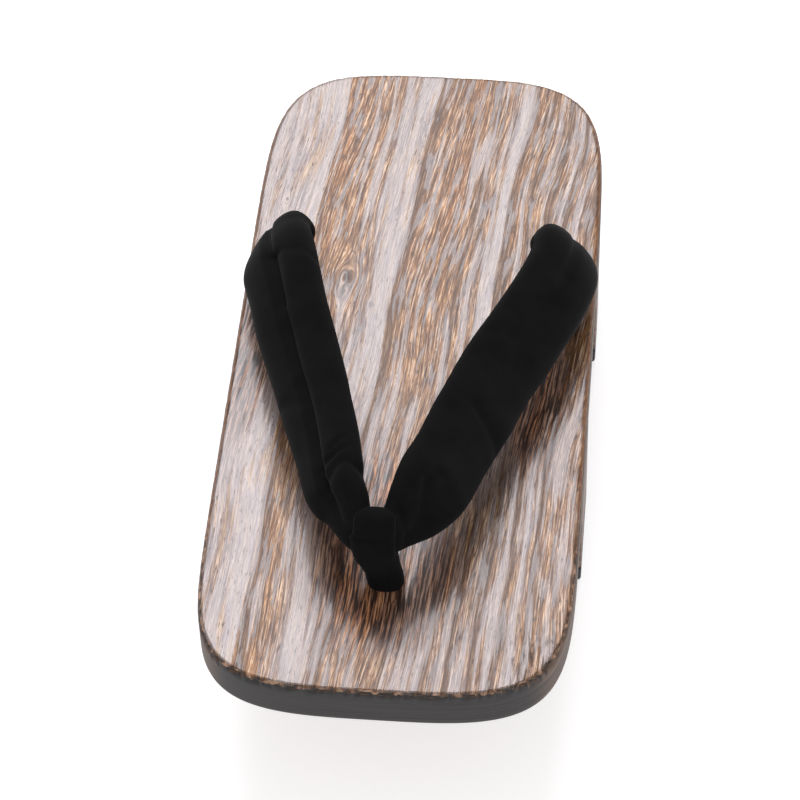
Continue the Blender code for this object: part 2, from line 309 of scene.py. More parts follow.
# %% Chart of the rings
RING_REACH = 64.0
RING_CHART = (
    # place across the rings, how smooth the wood is there at the heel and at the toe
    (-64.0, 0.80, 0.75), (-50.0, 0.85, 0.75), (-44.0, 0.90, 0.92), (-38.3, 1.00, 1.00),
    (-37.9, 0.00, 0.10), (-34.5, 0.02, 0.10), (-32.0, 0.18, 0.20), (-29.0, 0.22, 0.45),
    (-24.0, 0.40, 0.80), (-20.0, 0.65, 1.00), (-16.0, 0.85, 0.86), (-12.0, 0.96, 0.75),
    (-10.4, 0.90, 0.55), (-9.6, 0.08, 0.35), (-7.6, 0.02, 0.35), (-6.0, 0.30, 0.45),
    (-3.0, 0.20, 0.40), (1.0, 0.00, 0.40), (4.0, 0.04, 0.40), (8.0, 0.35, 0.45),
    (10.0, 0.15, 0.50), (13.0, 0.42, 0.55), (16.0, 0.50, 0.60), (18.5, 0.95, 0.80),
    (21.3, 1.00, 0.85), (21.7, 0.25, 0.40), (24.5, 0.08, 0.55), (26.5, 0.35, 0.50),
    (30.0, 0.15, 0.50), (33.0, 0.45, 0.65), (34.6, 0.68, 0.78), (35.2, 0.25, 0.35),
    (38.0, 0.30, 0.55), (40.8, 0.65, 0.82), (41.4, 0.35, 0.38), (44.5, 0.30, 0.55),
    (46.4, 0.60, 0.88), (48.5, 0.40, 0.55), (50.5, 0.02, 0.38), (54.0, 0.20, 0.45),
    (64.0, 0.30, 0.50),
)
BURNT_LINES = (
    # place across the rings, half width, how dark it still is at the heel
    (-36.3, 1.8, 0.15), (-8.6, 2.0, 1.0), (9.8, 1.0, 1.0), (22.6, 1.6, 1.0),
    (29.5, 0.9, 1.0), (36.2, 1.5, 1.0), (42.4, 1.1, 1.0), (50.4, 1.6, 1.0),
)


def set_curve(node, points):
    """Put straight pieces through the points into a float curve node."""
    curve = node.mapping.curves[0]
    curve.points[0].location = points[0]
    curve.points[1].location = points[-1]
    for x, y in points[1:-1]:
        curve.points.new(x, y)
    for point in curve.points:
        point.handle_type = "VECTOR"
    node.mapping.update()


def ring_smoothness(tree, ring, to_heel):
    """How smooth the wood is, blended from the chart's two columns."""
    share = calc(tree, "MULTIPLY_ADD", ring, 0.5 / RING_REACH, 0.5)
    ends = []
    for column in (1, 2):
        curve = add(tree, "ShaderNodeFloatCurve", {"Value": share})
        set_curve(curve, [((row[0] + RING_REACH) / (2.0 * RING_REACH), row[column]) for row in RING_CHART])
        ends.append(curve.outputs[0])
    return calc(tree, "MULTIPLY_ADD", calc(tree, "SUBTRACT", ends[0], ends[1]), to_heel, ends[1])


def ring_starts(tree, ring, to_heel):
    """Marks the burnt first wood of the rings."""
    starts = None
    for line, width, at_heel in BURNT_LINES:
        off = calc(tree, "ABSOLUTE", calc(tree, "SUBTRACT", ring, line))
        dark = times(tree, ramp(tree, off, width, 0.5 * width),
                     calc(tree, "MULTIPLY_ADD", to_heel, at_heel - 1.0, 1.0))
        starts = dark if starts is None else calc(tree, "MAXIMUM", starts, dark)
    return starts


print(len(RING_CHART), "places across the rings,", len(BURNT_LINES), "burnt lines")

# %% [markdown]
# The fibres are streaks of noise of several sizes, from broad strips of harder wood to single hairs. Wood
# fibres seldom follow the rings exactly. Here they lean away from them a little, most at the heel.

# %% One function for the grain of the board
HEEL_CHART_FROM = -50.0
HEEL_CHART_TO = 45.0
FIBRE_BEND = 0.00009
RIPPLE = 0.9
STREAKS = {
    # width and length in millimetres, detail
    "strip": (2.6, 60.0, 2.0),
    "ripple": (9.0, 60.0, 1.0),
    "stroke": (1.3, 14.0, 1.0),
    "tint": (1.9, 19.0, 3.0),
    "dash": (0.68, 13.0, 2.0),
    "pore": (0.55, 4.0, 2.0),
    "line": (0.42, 15.0, 2.0),
    "hair": (0.27, 4.0, 1.0),
}
GRAIN_OUT = ("Smooth", "Flat", "Lines", "Dashes", "Pores", "Tint", "Burn", "Eye", "Relief")


def fibre_place(tree, x, y, ring):
    """Place across the fibres."""
    from_toe = calc(tree, "SUBTRACT", y, TOE / MM)
    lean = times(tree, calc(tree, "POWER", from_toe, 2.0), FIBRE_BEND)
    ripple = times(tree, streaks(tree, x, y, *STREAKS["ripple"]), RIPPLE)
    return calc(tree, "ADD", calc(tree, "SUBTRACT", ring, lean), ripple)


def board_grain(kind):
    """The grain of the flat sawn board as a node group of one kind: shader or geometry."""
    tree, given, result = open_group(f"board_grain_{kind}", kind, [("Place", "NodeSocketVector")],
                                     [(name, "NodeSocketFloat") for name in GRAIN_OUT])
    scaled = add(tree, "ShaderNodeVectorMath", {0: given.outputs["Place"], "Scale": 1.0 / MM},
                 operation="SCALE")
    x, y, _ = parts(tree, scaled.outputs[0])
    to_heel = ramp(tree, y, HEEL_CHART_FROM, HEEL_CHART_TO)
    ring, eye = part_round_knots(tree, x, y, straight_rings(tree, x, y))
    fibre = fibre_place(tree, x, y, ring)
    smooth = ring_smoothness(tree, ring, to_heel)
    stroke, tint, dash, pore, line, hair = (streaks(tree, fibre, y, *STREAKS[name]) for name in
                                            ("stroke", "tint", "dash", "pore", "line", "hair"))

    # hard flats follow the rings, and there are more of them where a ring is smooth
    strip = streaks(tree, ring, y, *STREAKS["strip"])
    flat = ramp(tree, calc(tree, "MULTIPLY_ADD", smooth, 0.30, strip), 0.62, 0.76)
    lines = ramp(tree, calc(tree, "MULTIPLY_ADD", hair, 0.4, times(tree, line, 0.6)), 0.32, 0.68)
    # flats stand proud, and strokes are brushed out between them
    relief = calc(tree, "MULTIPLY_ADD", ramp(tree, stroke, 0.34, 0.62), 0.6, times(tree, flat, 0.4))

    made = {"Smooth": smooth, "Flat": flat, "Lines": lines, "Dashes": dash, "Tint": tint, "Eye": eye,
            "Pores": ramp(tree, pore, 0.36, 0.28), "Burn": ring_starts(tree, ring, to_heel),
            "Relief": relief}
    for name, socket in made.items():
        tree.links.new(socket, result.inputs[name])
    return tree


shader_grain = board_grain("ShaderNodeTree")
mesh_grain = board_grain("GeometryNodeTree")
print("board grain:", len(shader_grain.nodes), "nodes in each group")

# %% [markdown]
# ## Finish of the deck
#
# A finish like this is built up as a maker does it. First comes the stain, which is orange in the rough
# wood and a pale rose grey in the smooth. Then shade is painted round the thong and beside the strap,
# dark red brown and black, where their shadow and mirror image fall. The coat is a layer of its own over
# the base, smooth enough to mirror the strap, so the wood beside the strap goes dark as on the real one.
# Brushed fibres also throw back light in their own colour, which a share of metal in the base shows well.

# %% Helpers for materials
def layered_lines(tree, place, height, length):
    """Long level lines on an upright face: noise that is flat and wide."""
    scaled = add(tree, "ShaderNodeVectorMath", {0: place, 1: (1.0 / length, 1.0 / length, 1.0 / height)},
                 operation="MULTIPLY")
    node = add(tree, "ShaderNodeTexNoise", {"Vector": scaled.outputs[0], "Scale": 1.0, "Detail": 4.0,
                                            "Roughness": 0.6}, noise_dimensions="3D")
    return node.outputs[0]


def colours(tree, value, stops):
    """A colour ramp with its stops given as place and colour."""
    node = add(tree, "ShaderNodeValToRGB", {0: value})
    band = node.color_ramp
    band.elements[0].position, band.elements[0].color = stops[0][0], (*stops[0][1], 1.0)
    band.elements[1].position, band.elements[1].color = stops[-1][0], (*stops[-1][1], 1.0)
    for position, colour in stops[1:-1]:
        band.elements.new(position).color = (*colour, 1.0)
    return node.outputs[0]


def blend_colours(tree, share, a, b, mode="MIX"):
    """Mix two colours, each a socket or a tuple."""
    node = add(tree, "ShaderNodeMix", data_type="RGBA", blend_type=mode, clamp_factor=True)
    for index, value in ((0, share), (6, a), (7, b)):
        if isinstance(value, bpy.types.NodeSocket):
            tree.links.new(value, node.inputs[index])
        elif index:
            node.inputs[index].default_value = (*value, 1.0)
        else:
            node.inputs[index].default_value = value
    return node.outputs[2]


def glaze(tree, share, base, tint):
    """Multiply a colour by a tint, wholly or in part."""
    return blend_colours(tree, share, base, tint, "MULTIPLY")


def blend_values(tree, share, a, b):
    """Mix two numbers."""
    return calc(tree, "ADD", times(tree, calc(tree, "SUBTRACT", 1.0, share), a), times(tree, share, b))


def open_material(name):
    """A material with its shader and the socket for a point's place."""
    material = bpy.data.materials.new(name)
    material.use_nodes = True
    tree = material.node_tree
    place = tree.nodes.new("ShaderNodeTexCoord").outputs["Object"]
    return material, tree, tree.nodes["Principled BSDF"], place


def texture_bump(tree, shader, height, strength, depth):
    """Feed a height into the shader's normal."""
    bump = add(tree, "ShaderNodeBump", {"Height": height, "Strength": strength, "Distance": depth})
    tree.links.new(bump.outputs[0], shader.inputs["Normal"])


print("material helpers ready")

# %% Stain of the top
STAIN = ((0.0, (0.30, 0.150, 0.062)), (0.20, (0.32, 0.180, 0.088)), (0.45, (0.335, 0.210, 0.130)),
         (0.75, (0.33, 0.245, 0.205)), (1.0, (0.49, 0.41, 0.375)))
# dark ends: the grain's dark lines; bright ends above one: painted highlights on lit ridges
DASH_TONE_AND_HIGHLIGHT = ((0.30, (0.36, 0.28, 0.26)), (0.42, (0.72, 0.66, 0.64)), (0.54, (1.02, 1.0, 1.0)),
             (0.68, (1.50, 1.54, 1.60)))
HAIR_TONE_AND_HIGHLIGHT = ((0.0, (0.46, 0.42, 0.42)), (0.5, (0.95, 0.95, 0.95)), (1.0, (1.65, 1.68, 1.62)))
PATCH_TINT = ((0.34, (0.78, 0.78, 0.88)), (0.46, (0.97, 0.96, 1.0)), (0.56, (1.05, 1.0, 0.93)),
              (0.68, (1.14, 1.02, 0.80)))
HEEL_TINT = ((0.0, (1.0, 0.99, 1.0)), (1.0, (0.90, 0.88, 0.86)))
HEEL_TINT_FROM, HEEL_TINT_TO = -100.0 * MM, 80.0 * MM
# painted highlight: the pale cream of lit ridges
RIDGE_HIGHLIGHT_CREAM = (0.64, 0.50, 0.39)
BURNT_RING = (0.085, 0.040, 0.022)
HARD_WOOD = ((0.0, (0.16, 0.12, 0.115)), (1.0, (0.30, 0.245, 0.235)))
SMOOTH_KEEPS_DASHES = 0.14
RIDGE_HIGHLIGHT_SHARE, BURNT_SHARE, HARD_SHARE, CHIP_SHARE = 0.75, 0.62, 0.6, 0.8


def stain_and_painted_highlights(tree, out, ahead):
    """Colour of the top from its stain and grain, with highlights painted on its ridges. Dashes and hairs are
    fainter in smooth wood.
    """
    calm = ramp(tree, out["Smooth"], 0.50, 0.98, 1.0, SMOOTH_KEEPS_DASHES)
    top = colours(tree, out["Smooth"], STAIN)
    # the bright ends of the dashes and hairs are painted highlights
    top = glaze(tree, calm, top, colours(tree, out["Dashes"], DASH_TONE_AND_HIGHLIGHT))
    hairs = calc(tree, "MULTIPLY_ADD", calm, 0.72, 0.28)
    top = glaze(tree, hairs, top, colours(tree, out["Lines"], HAIR_TONE_AND_HIGHLIGHT))
    top = glaze(tree, 1.0, top, colours(tree, out["Tint"], PATCH_TINT))
    top = glaze(tree, 1.0, top, colours(tree, ramp(tree, ahead, HEEL_TINT_FROM, HEEL_TINT_TO), HEEL_TINT))
    # painted highlight: pale cream where bright lines and dashes meet, as on lit ridges
    ridge_highlight = times(tree, ramp(tree, out["Lines"], 0.55, 0.95), ramp(tree, out["Dashes"], 0.46, 0.60))
    top = blend_colours(tree, times(tree, ridge_highlight, RIDGE_HIGHLIGHT_SHARE), top, RIDGE_HIGHLIGHT_CREAM)
    return blend_colours(tree, times(tree, out["Burn"], BURNT_SHARE), top, BURNT_RING)


def hard_wood(tree, out):
    """Marks hard flats and small chips, which are grey under the coat."""
    chips = ramp(tree, out["Tint"], 0.45, 0.39)
    return calc(tree, "MAXIMUM", out["Flat"], times(tree, chips, CHIP_SHARE))


print("stain from", len(STAIN), "tones")

# %% Painted shade round the strap and the thong
# Painted shade: ovals round the thong and beside the strap, where their shadow and mirror image fall.
PAINTED_SHADE_PATCHES = (
    # middle and reach of each oval patch, x and y, in millimetres
    (-1.0, -90.0, 29.0, 33.0),
    (-7.0, -68.0, 23.0, 34.0),
    (42.0, -18.0, 11.0, 38.0),
    (-54.0, 0.0, 12.0, 46.0),
)
PAINTED_SHADE_RED = (1.22, 0.80, 0.56)
PAINTED_SHADE_BLACK = (0.014, 0.007, 0.006)
PORE = (0.035, 0.02, 0.017)
KNOT_HEART = (0.11, 0.08, 0.07)
SHADE_RED_SHARE, SHADE_BLACK_SHARE, PORE_SHARE = 0.7, 0.86, 0.75


def painted_shade_mask(tree, x, y):
    """Marks where shade is painted: round the thong and beside the strap."""
    shade_mask = None
    for oval in PAINTED_SHADE_PATCHES:
        patch = ramp(tree, from_oval(tree, x, y, [size * MM for size in oval]), 1.0, 0.15)
        shade_mask = patch if shade_mask is None else calc(tree, "MAXIMUM", shade_mask, patch)
    return shade_mask


def painted_shade(tree, out, top, shade_mask):
    """Paint shade where the strap's shadow falls by reddening the wood and blackening its grooves. Then
    darken the pores and the knots.
    """
    # painted shade: inside the ovals the wood is reddened and its grooves are blackened
    top = glaze(tree, times(tree, shade_mask, SHADE_RED_SHARE), top, PAINTED_SHADE_RED)
    black = times(tree, shade_mask, ramp(tree, out["Dashes"], 0.53, 0.45, 0.06, 1.0))
    top = blend_colours(tree, times(tree, black, SHADE_BLACK_SHARE), top, PAINTED_SHADE_BLACK)
    top = blend_colours(tree, times(tree, out["Pores"], PORE_SHARE), top, PORE)
    return blend_colours(tree, out["Eye"], top, KNOT_HEART)


print(len(PAINTED_SHADE_PATCHES), "charred patches")

# %% [markdown]
# The side is plain brown with long level lines, and the end grain at the toe and heel is nearly black.
# Between top and side runs a thin rim where the stain is rubbed: broken cream and black at the toe, where
# it is chipped, and an even red brown at the heel.

# %% Side and rim of the deck
SIDE = ((0.32, (0.030, 0.018, 0.013)), (0.5, (0.085, 0.050, 0.034)), (0.68, (0.17, 0.10, 0.065)))
END_GRAIN = ((0.32, (0.014, 0.012, 0.012)), (0.68, (0.028, 0.025, 0.025)))
TOE_RIM = ((0.42, (0.030, 0.015, 0.010)), (0.52, (0.15, 0.075, 0.040)), (0.66, (0.52, 0.31, 0.20)))
HEEL_RIM = (0.24, 0.092, 0.030)
RIM_SPOTS, RIM_SHARE, HEEL_RIM_SHARE = 420.0, 0.9, 0.8
HEEL_RIM_FROM, HEEL_RIM_TO = -85.0 * MM, -55.0 * MM


def deck_side(tree, lines):
    """Brown sides that turn to dark end grain where the face looks along the deck."""
    normal = parts(tree, tree.nodes.new("ShaderNodeNewGeometry").outputs["Normal"])
    facing_end = ramp(tree, calc(tree, "ABSOLUTE", normal[1]), 0.45, 0.85)
    return blend_colours(tree, facing_end, colours(tree, lines, SIDE), colours(tree, lines, END_GRAIN))


def rubbed_rim(tree, place, ahead):
    """Colour of the rim from toe to heel."""
    to_heel = ramp(tree, ahead, HEEL_RIM_FROM, HEEL_RIM_TO)
    toe_rim = colours(tree, speckle(tree, place, RIM_SPOTS), TOE_RIM)
    return blend_colours(tree, times(tree, to_heel, HEEL_RIM_SHARE), toe_rim, HEEL_RIM)


print("side and rim ready")

# %% Deck wood
TOP_STARTS = (DECK_TOP - 1.0 * MM, DECK_TOP - 0.7 * MM)
RIM_HEIGHTS = (DECK_TOP - 0.14 * MM, DECK_TOP - 0.28 * MM)
SIDE_LINES = (0.9 * MM, 46.0 * MM)
METAL_SOFT, METAL_HARD, METAL_LOST_IN_PAINTED_SHADE = 0.36, 0.18, 0.14
COAT_SOFT, COAT_HARD, COAT_RIM = 0.35, 0.95, 0.08
ROUGH_SIDE, ROUGH_TOP, FLAT_LESS_ROUGH = 0.6, 0.48, 0.12


def deck_wood():
    material, tree, shader, place = open_material("deck_wood")
    grain = add(tree, "ShaderNodeGroup", {}, node_tree=shader_grain)
    tree.links.new(place, grain.inputs["Place"])
    out = grain.outputs
    aside, ahead, height = parts(tree, place)
    edge = ramp(tree, height, *TOP_STARTS)
    rim = times(tree, edge, ramp(tree, height, *RIM_HEIGHTS))
    hard = hard_wood(tree, out)
    # the ovals of painted shade round the thong and beside the strap, where there is also less metal
    shade_mask = painted_shade_mask(tree, aside, ahead)

    top = blend_colours(tree, times(tree, hard, HARD_SHARE), stain_and_painted_highlights(tree, out, ahead),
                        colours(tree, out["Lines"], HARD_WOOD))
    lines = layered_lines(tree, place, *SIDE_LINES)
    colour = blend_colours(tree, edge, deck_side(tree, lines), painted_shade(tree, out, top, shade_mask))
    colour = blend_colours(tree, times(tree, rim, RIM_SHARE), colour, rubbed_rim(tree, place, ahead))
    tree.links.new(colour, shader.inputs["Base Color"])

    dull = calc(tree, "MULTIPLY_ADD", out["Flat"], -FLAT_LESS_ROUGH, ROUGH_TOP)
    gleam = calc(tree, "SUBTRACT", ramp(tree, hard, 0.0, 1.0, METAL_SOFT, METAL_HARD),
                 times(tree, shade_mask, METAL_LOST_IN_PAINTED_SHADE))
    gleam = times(tree, calc(tree, "SUBTRACT", edge, rim), gleam)
    coat = times(tree, edge, ramp(tree, hard, 0.0, 1.0, COAT_SOFT, COAT_HARD))
    coat = blend_values(tree, rim, coat, COAT_RIM)
    tree.links.new(blend_values(tree, edge, ROUGH_SIDE, dull), shader.inputs["Roughness"])
    tree.links.new(gleam, shader.inputs["Metallic"])
    tree.links.new(coat, shader.inputs["Coat Weight"])
    shader.inputs["Coat Roughness"].default_value = 0.16
    shader.inputs["Coat IOR"].default_value = 1.5
    shader.inputs["IOR"].default_value = 1.5

    ridges = calc(tree, "MULTIPLY_ADD", out["Dashes"], 0.6, times(tree, out["Lines"], 0.4))
    ridges = times(tree, ridges, ramp(tree, out["Flat"], 0.0, 1.0, 1.0, 0.3))
    texture_bump(tree, shader, blend_values(tree, edge, lines, ridges), 0.5, 0.2 * MM)
    return material


deck_material = deck_wood()
print("deck wood:", len(deck_material.node_tree.nodes), "nodes")

# %% [markdown]
# ## Deck
#
# The board is one closed mesh. Its top is a grid of narrow cells that lie along the grain, fine enough
# to carry the brushed relief, and its round edge, sides and foot are rings of the same outline. The
# outline is a rounded oblong whose toe is a little squarer than its heel. The foot gets coarse cells,
# because it is flat.

# %% Outline of the deck
TOE_POWERS = (3.5, 10.0)
HEEL_POWERS = (3.8, 8.2)
TOP_ROUND = 1.8 * MM
FOOT_ROUND = 1.5 * MM
CELLS_ACROSS = 264
CELLS_ALONG = 216
COARSE = 4
FOOT_INSET = 0.97


def outline_at(across, along):
    """Points and outward directions of the outline for places on the edge of a square."""
    power_x = np.where(along < 0.0, TOE_POWERS[0], HEEL_POWERS[0])
    power_y = np.where(along < 0.0, TOE_POWERS[1], HEEL_POWERS[1])
    low = np.zeros_like(across)
    high = np.full_like(across, 1.0)
    for _ in range(50):
        middle = (low + high) / 2.0
        inside = (middle * abs(across)) ** power_x + (middle * abs(along)) ** power_y < 1.0
        low = np.where(inside, middle, low)
        high = np.where(inside, high, middle)
    x, y = low * across, low * along
    slope_x = power_x * abs(x) ** (power_x - 1.0) * np.sign(x) / DECK_WIDTH
    slope_y = power_y * abs(y) ** (power_y - 1.0) * np.sign(y) / DECK_LENGTH
    size = np.hypot(slope_x, slope_y)
    points = np.stack([x * DECK_WIDTH / 2.0, y * DECK_LENGTH / 2.0], -1)
    return points, np.stack([slope_x / size, slope_y / size], -1)


def grid_points(columns, rows, inset, reach, height):
    """A grid that fills the outline, its border the outline moved in."""
    across, along = np.meshgrid(np.linspace(-1.0, 1.0, columns + 1),
                                np.linspace(-1.0, 1.0, rows + 1), indexing="ij")
    size = np.maximum(np.maximum(abs(across), abs(along)), 1e-9)
    edge, away = outline_at(across / size, along / size)
    flat = (edge - away * inset) * (size * reach)[..., None]
    return np.concatenate([flat, np.full(flat.shape[:2] + (1,), height)], -1).reshape(-1, 3)


def grid_border(columns, rows):
    """Indices of a grid's border points, once round."""
    near = [i * (rows + 1) for i in range(columns)]
    right = [columns * (rows + 1) + j for j in range(rows)]
    far = [i * (rows + 1) + rows for i in range(columns, 0, -1)]
    left = list(range(rows, 0, -1))
    return near + right + far + left


def grid_faces(columns, rows, start, up):
    """Four sided cells of a grid, facing up or down."""
    faces = []
    for i in range(columns):
        for j in range(rows):
            a = start + i * (rows + 1) + j
            b = a + rows + 1
            faces.append((a, b, b + 1, a + 1) if up else (a, a + 1, b + 1, b))
    return faces


def ring_faces(one, other):
    """Faces between two rings of as many points, given by their indices."""
    return list(zip(one, other, other[1:] + other[:1], one[1:] + one[:1]))


print("outline ready")

# %% Build the deck's mesh
EDGE_STEPS = 9
SIDE_STEPS = 9
FOOT_STEPS = 3


def edge_levels():
    """Inset and height of each ring from the top grid down to the foot."""
    levels = []
    for i in range(1, EDGE_STEPS + 1):
        angle = math.pi / 2.0 * i / EDGE_STEPS
        levels.append((TOP_ROUND * (1.0 - math.sin(angle)), DECK_TOP - TOP_ROUND * (1.0 - math.cos(angle))))
    side = DECK_TOP - TOP_ROUND - DECK_FOOT - FOOT_ROUND
    for i in range(1, SIDE_STEPS + 1):
        levels.append((0.0, DECK_TOP - TOP_ROUND - side * i / SIDE_STEPS))
    for i in range(1, FOOT_STEPS + 1):
        angle = math.pi / 2.0 * i / FOOT_STEPS
        levels.append((FOOT_ROUND * (1.0 - math.cos(angle)),
                       DECK_FOOT + FOOT_ROUND * (1.0 - math.sin(angle))))
    return levels


def build_deck():
    points = [tuple(p) for p in grid_points(CELLS_ACROSS, CELLS_ALONG, TOP_ROUND, 1.0, DECK_TOP)]
    faces = grid_faces(CELLS_ACROSS, CELLS_ALONG, 0, up=True)
    ring = grid_border(CELLS_ACROSS, CELLS_ALONG)
    column, row = np.divmod(ring, CELLS_ALONG + 1)
    edge, away = outline_at(2.0 * column / CELLS_ACROSS - 1.0, 2.0 * row / CELLS_ALONG - 1.0)
    count = len(ring)
    for inset, height in edge_levels():
        lower = list(range(len(points), len(points) + count))
        points += [(*p, height) for p in edge - away * inset]
        faces += ring_faces(ring, lower)
        ring = lower
    coarse_across, coarse_along = CELLS_ACROSS // COARSE, CELLS_ALONG // COARSE
    start = len(points)
    points += [tuple(p) for p in grid_points(coarse_across, coarse_along, FOOT_ROUND, FOOT_INSET, DECK_FOOT)]
    faces += grid_faces(coarse_across, coarse_along, start, up=False)
    inner = [start + i for i in grid_border(coarse_across, coarse_along)]
    for i in range(len(inner)):
        j = (i + 1) % len(inner)
        outer = [ring[(i * COARSE + k) % count] for k in range(COARSE + 1)]
        faces.append((*reversed(outer), inner[i], inner[j]))
    return show_mesh("deck_board", points, faces, deck_material)


board = build_deck()
print("deck board:", len(board.data.polygons), "faces before the holes")

# %% [markdown]
# The holes are cut through with plain oval rods, at the places and sizes that the frame's deck has. The
# strap's ends fill them with a small clearance.

# %% Cut the three holes
THONG_HOLE = TOE + 42.0 * MM
THONG_HOLE_LENGTH, THONG_HOLE_WIDTH = 7.8 * MM, 10.4 * MM
STRAP_REAR = TOE + 175.0 * MM
STRAP_HOLE_OUT = 42.0 * MM
STRAP_HOLE_LENGTH, STRAP_HOLE_WIDTH = 13.0 * MM, 9.0 * MM
HOLES = (
    # x, y, width, length
    (0.0, THONG_HOLE, THONG_HOLE_WIDTH, THONG_HOLE_LENGTH),
    (-STRAP_HOLE_OUT, STRAP_REAR, STRAP_HOLE_WIDTH, STRAP_HOLE_LENGTH),
    (STRAP_HOLE_OUT, STRAP_REAR, STRAP_HOLE_WIDTH, STRAP_HOLE_LENGTH),
)
HOLE_POINTS = 48
ROD_BEYOND = 5.0 * MM


def oval_rod(x, y, width, length):
    turns = [math.tau * i / HOLE_POINTS for i in range(HOLE_POINTS)]
    ring = [(x + width / 2.0 * math.cos(turn), y + length / 2.0 * math.sin(turn)) for turn in turns]
    low = [(*p, DECK_FOOT - ROD_BEYOND) for p in ring]
    high = [(*p, DECK_TOP + ROD_BEYOND) for p in ring]
    sides = [(i, (i + 1) % HOLE_POINTS, HOLE_POINTS + (i + 1) % HOLE_POINTS, HOLE_POINTS + i)
             for i in range(HOLE_POINTS)]
    caps = [tuple(reversed(range(HOLE_POINTS))), tuple(range(HOLE_POINTS, 2 * HOLE_POINTS))]
    return show_mesh("rod", low + high, sides + caps, deck_material)


for hole in HOLES:
    rod = oval_rod(*hole)
    cut = board.modifiers.new("hole", "BOOLEAN")
    cut.operation = "DIFFERENCE"
    cut.solver = "EXACT"
    cut.object = rod
    as_shown(board)
    bpy.data.objects.remove(rod)

# %% [markdown]
# The relief moves the points of the top. A geometry node group does it, because it can use the same
# grain as the colour. Grooves sink, deeper in rough wood than in smooth, the toe's right corner is flaky,
# and the end grain of the toe is nicked along its top edge.

# %% Brushed relief of the board
GROOVE_DEPTH = 0.13 * MM
SMOOTH_KEEPS = 0.40
EYE_DEPTH = 0.10 * MM
NICK_DEPTH = 0.7 * MM
NICK_SPOTS = 520.0
NICKS_FROM = TOE + 34.0 * MM
NICKS_TO = TOE + 12.0 * MM
NICKS_BELOW = (DECK_TOP - 0.01 * MM, DECK_TOP - 0.3 * MM)
NICKS_ABOVE = (DECK_TOP - 2.6 * MM, DECK_TOP - 1.2 * MM)
RELIEF_ABOVE = (DECK_TOP - 2.2 * MM, DECK_TOP - 0.8 * MM)
FLAKY = (49.0 * MM, -118.0 * MM, 16.0 * MM, 17.0 * MM)
FLAKE_WIDTH, FLAKE_LENGTH, FLAKE_DEPTH = 1.4, 4.0, 0.17 * MM


def groove_drop(tree, out):
    """How far the top sinks in its grooves and knots."""
    depth = ramp(tree, out["Smooth"], 0.0, 1.0, GROOVE_DEPTH, GROOVE_DEPTH * SMOOTH_KEEPS)
    grooves = times(tree, calc(tree, "SUBTRACT", 1.0, out["Relief"]), depth)
    return calc(tree, "ADD", grooves, times(tree, out["Eye"], EYE_DEPTH))


def flake_drop(tree, x, y):
    """How far the flaky corner sinks between its flakes."""
    flakes = streaks(tree, calc(tree, "DIVIDE", x, MM), calc(tree, "DIVIDE", y, MM), FLAKE_WIDTH,
                     FLAKE_LENGTH)
    corner = ramp(tree, from_oval(tree, x, y, FLAKY), 1.0, 0.2)
    return times(tree, ramp(tree, flakes, 0.54, 0.40), corner, FLAKE_DEPTH)


def nick_drop(tree, place, y, z):
    """How deep the top edge is nicked, most at the toe."""
    band = times(tree, ramp(tree, z, *NICKS_ABOVE), ramp(tree, z, *NICKS_BELOW))
    near_toe = ramp(tree, y, NICKS_FROM, NICKS_TO, 0.15, 1.0)
    nicks = ramp(tree, speckle(tree, place, NICK_SPOTS), 0.62, 0.40)
    return times(tree, nicks, band, near_toe, NICK_DEPTH)


def relief_group():
    sockets = [("Geometry", "NodeSocketGeometry")]
    tree, given, result = open_group("brushed_relief", "GeometryNodeTree", sockets, sockets)
    place = tree.nodes.new("GeometryNodeInputPosition").outputs[0]
    normal = tree.nodes.new("GeometryNodeInputNormal").outputs[0]
    grain = add(tree, "GeometryNodeGroup", {}, node_tree=mesh_grain)
    tree.links.new(place, grain.inputs["Place"])
    x, y, z = parts(tree, place)
    drop = calc(tree, "ADD", groove_drop(tree, grain.outputs), flake_drop(tree, x, y))
    drop = times(tree, drop, ramp(tree, z, *RELIEF_ABOVE))
    drop = calc(tree, "ADD", drop, nick_drop(tree, place, y, z))
    offset = add(tree, "ShaderNodeVectorMath", {0: normal, "Scale": times(tree, drop, -1.0)},
                 operation="SCALE")
    move = add(tree, "GeometryNodeSetPosition", {"Geometry": given.outputs[0], "Offset": offset.outputs[0]})
    tree.links.new(move.outputs[0], result.inputs[0])
    return tree


brush = board.modifiers.new("brushed relief", "NODES")
brush.node_group = relief_group()
as_shown(board)
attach(board, "root")
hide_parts("deck")

# %% [markdown]
# ## Teeth and rubber pads
#
# The teeth are sawn blocks with a plain stain. Their form in the frame is right, so they only get a
# material: fine level lines and broad level bands on their sides. The pads are black rubber with a fine
# moulded texture.

# %% Tooth wood and rubber
TOOTH_LINES, TOOTH_BANDS = (1.4 * MM, 30.0 * MM), (9.0 * MM, 60.0 * MM)
TOOTH_STAIN = ((0.30, (0.035, 0.020, 0.014)), (0.5, (0.12, 0.066, 0.040)), (0.70, (0.25, 0.145, 0.085)))
TOOTH_TINT = ((0.38, (0.6, 0.58, 0.56)), (0.62, (1.35, 1.3, 1.25)))
RUBBER = ((0.35, (0.018, 0.018, 0.019)), (0.65, (0.040, 0.039, 0.040)))
RUBBER_SMEARS, RUBBER_GRIT = 90.0, 1400.0


def tooth_wood():
    material, tree, shader, place = open_material("tooth_wood")
    lines = layered_lines(tree, place, *TOOTH_LINES)
    bands = layered_lines(tree, place, *TOOTH_BANDS)
    colour = glaze(tree, 1.0, colours(tree, lines, TOOTH_STAIN), colours(tree, bands, TOOTH_TINT))
    tree.links.new(colour, shader.inputs["Base Color"])
    shader.inputs["Roughness"].default_value = 0.5
    shader.inputs["Coat Weight"].default_value = 0.15
    shader.inputs["Coat Roughness"].default_value = 0.3
    texture_bump(tree, shader, lines, 0.5, 0.3 * MM)
    return material


